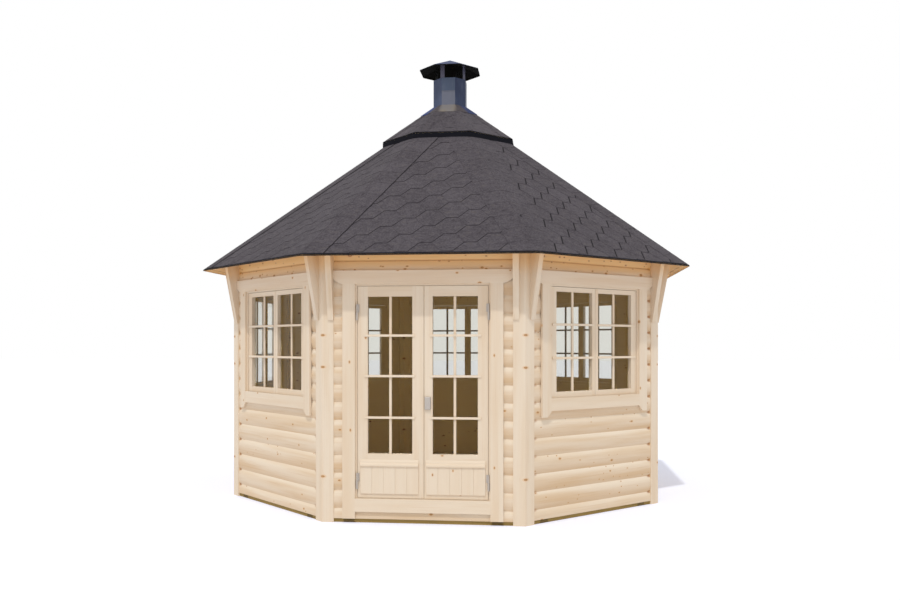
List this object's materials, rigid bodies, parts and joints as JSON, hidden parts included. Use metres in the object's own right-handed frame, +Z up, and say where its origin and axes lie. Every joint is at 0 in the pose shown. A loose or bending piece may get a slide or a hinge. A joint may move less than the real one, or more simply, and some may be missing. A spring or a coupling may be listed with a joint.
{
  "type": "octagonal log grill cabin",
  "caption": "Eight-sided log cabin with a glazed double door, paired windows, shingled roof, raised upper roof and an octagonal metal chimney.",
  "frame": {"origin": "centre of the cabin's footprint at ground level", "axes": "+Z up; -Y out through the double door; +X to the right of someone facing the door"},
  "size_m": [4.224, 4.224, 4.075],
  "materials": {
    "pine": "planed, unpainted",
    "treated_pine": "pressure treated, greenish brown",
    "shingles": "granule-faced bitumen shingle",
    "dark_edging": "dark edging strip",
    "blue_sheet_metal": "satin dark blue coated sheet",
    "glass": "clear",
    "zinc_plated_steel": "zinc plated"
  },
  "bodies": {
    "cabin": {"wall_front_right": "pine", "wall_right": "pine", "wall_back_right": "pine", "wall_back": "pine", "wall_back_left": "pine", "wall_left": "pine", "wall_front_left": "pine", "front_wall_left": "pine", "front_wall_right": "pine", "front_wall_over_door": "pine", "door_sill_log": "pine", "corner_posts": "pine", "roof_braces": "pine", "roof_boards": "pine", "upper_roof_boards": "pine", "head_boards": "pine", "side_boards": "pine", "sill_boards": "pine", "window_frames": "pine", "window_sashes": "pine", "door_frame": "pine", "door_threshold": "pine", "floor_boards": "pine", "ground_beams": "treated_pine", "floor_joists": "treated_pine", "roof_shingles": "shingles", "upper_roof_shingles": "shingles", "drip_edge": "dark_edging", "upper_roof_edge": "dark_edging", "chimney_flashing": "blue_sheet_metal", "chimney_tube": "blue_sheet_metal", "chimney_cap_legs": "blue_sheet_metal", "chimney_cap": "blue_sheet_metal", "window_glass": "glass", "door_hinge_posts": "zinc_plated_steel"},
    "left_door": {"left_door_leaf": "pine", "left_door_panel": "pine", "left_door_glass": "glass", "left_door_hinges": "zinc_plated_steel"},
    "right_door": {"right_door_leaf": "pine", "right_door_panel": "pine", "right_door_glass": "glass", "right_door_hinges": "zinc_plated_steel", "door_lock": "zinc_plated_steel"}
  },
  "joints": [
    {"name": "left_door_hinge", "type": "hinge", "parent": "cabin", "child": "left_door", "pos_m": [-0.498, -1.8693, 0.99], "axis": [0, 0, -1], "range_deg": [0, 110]},
    {"name": "right_door_hinge", "type": "hinge", "parent": "cabin", "child": "right_door", "pos_m": [0.498, -1.8693, 0.99], "axis": [0, 0, 1], "range_deg": [0, 110]}
  ]
}
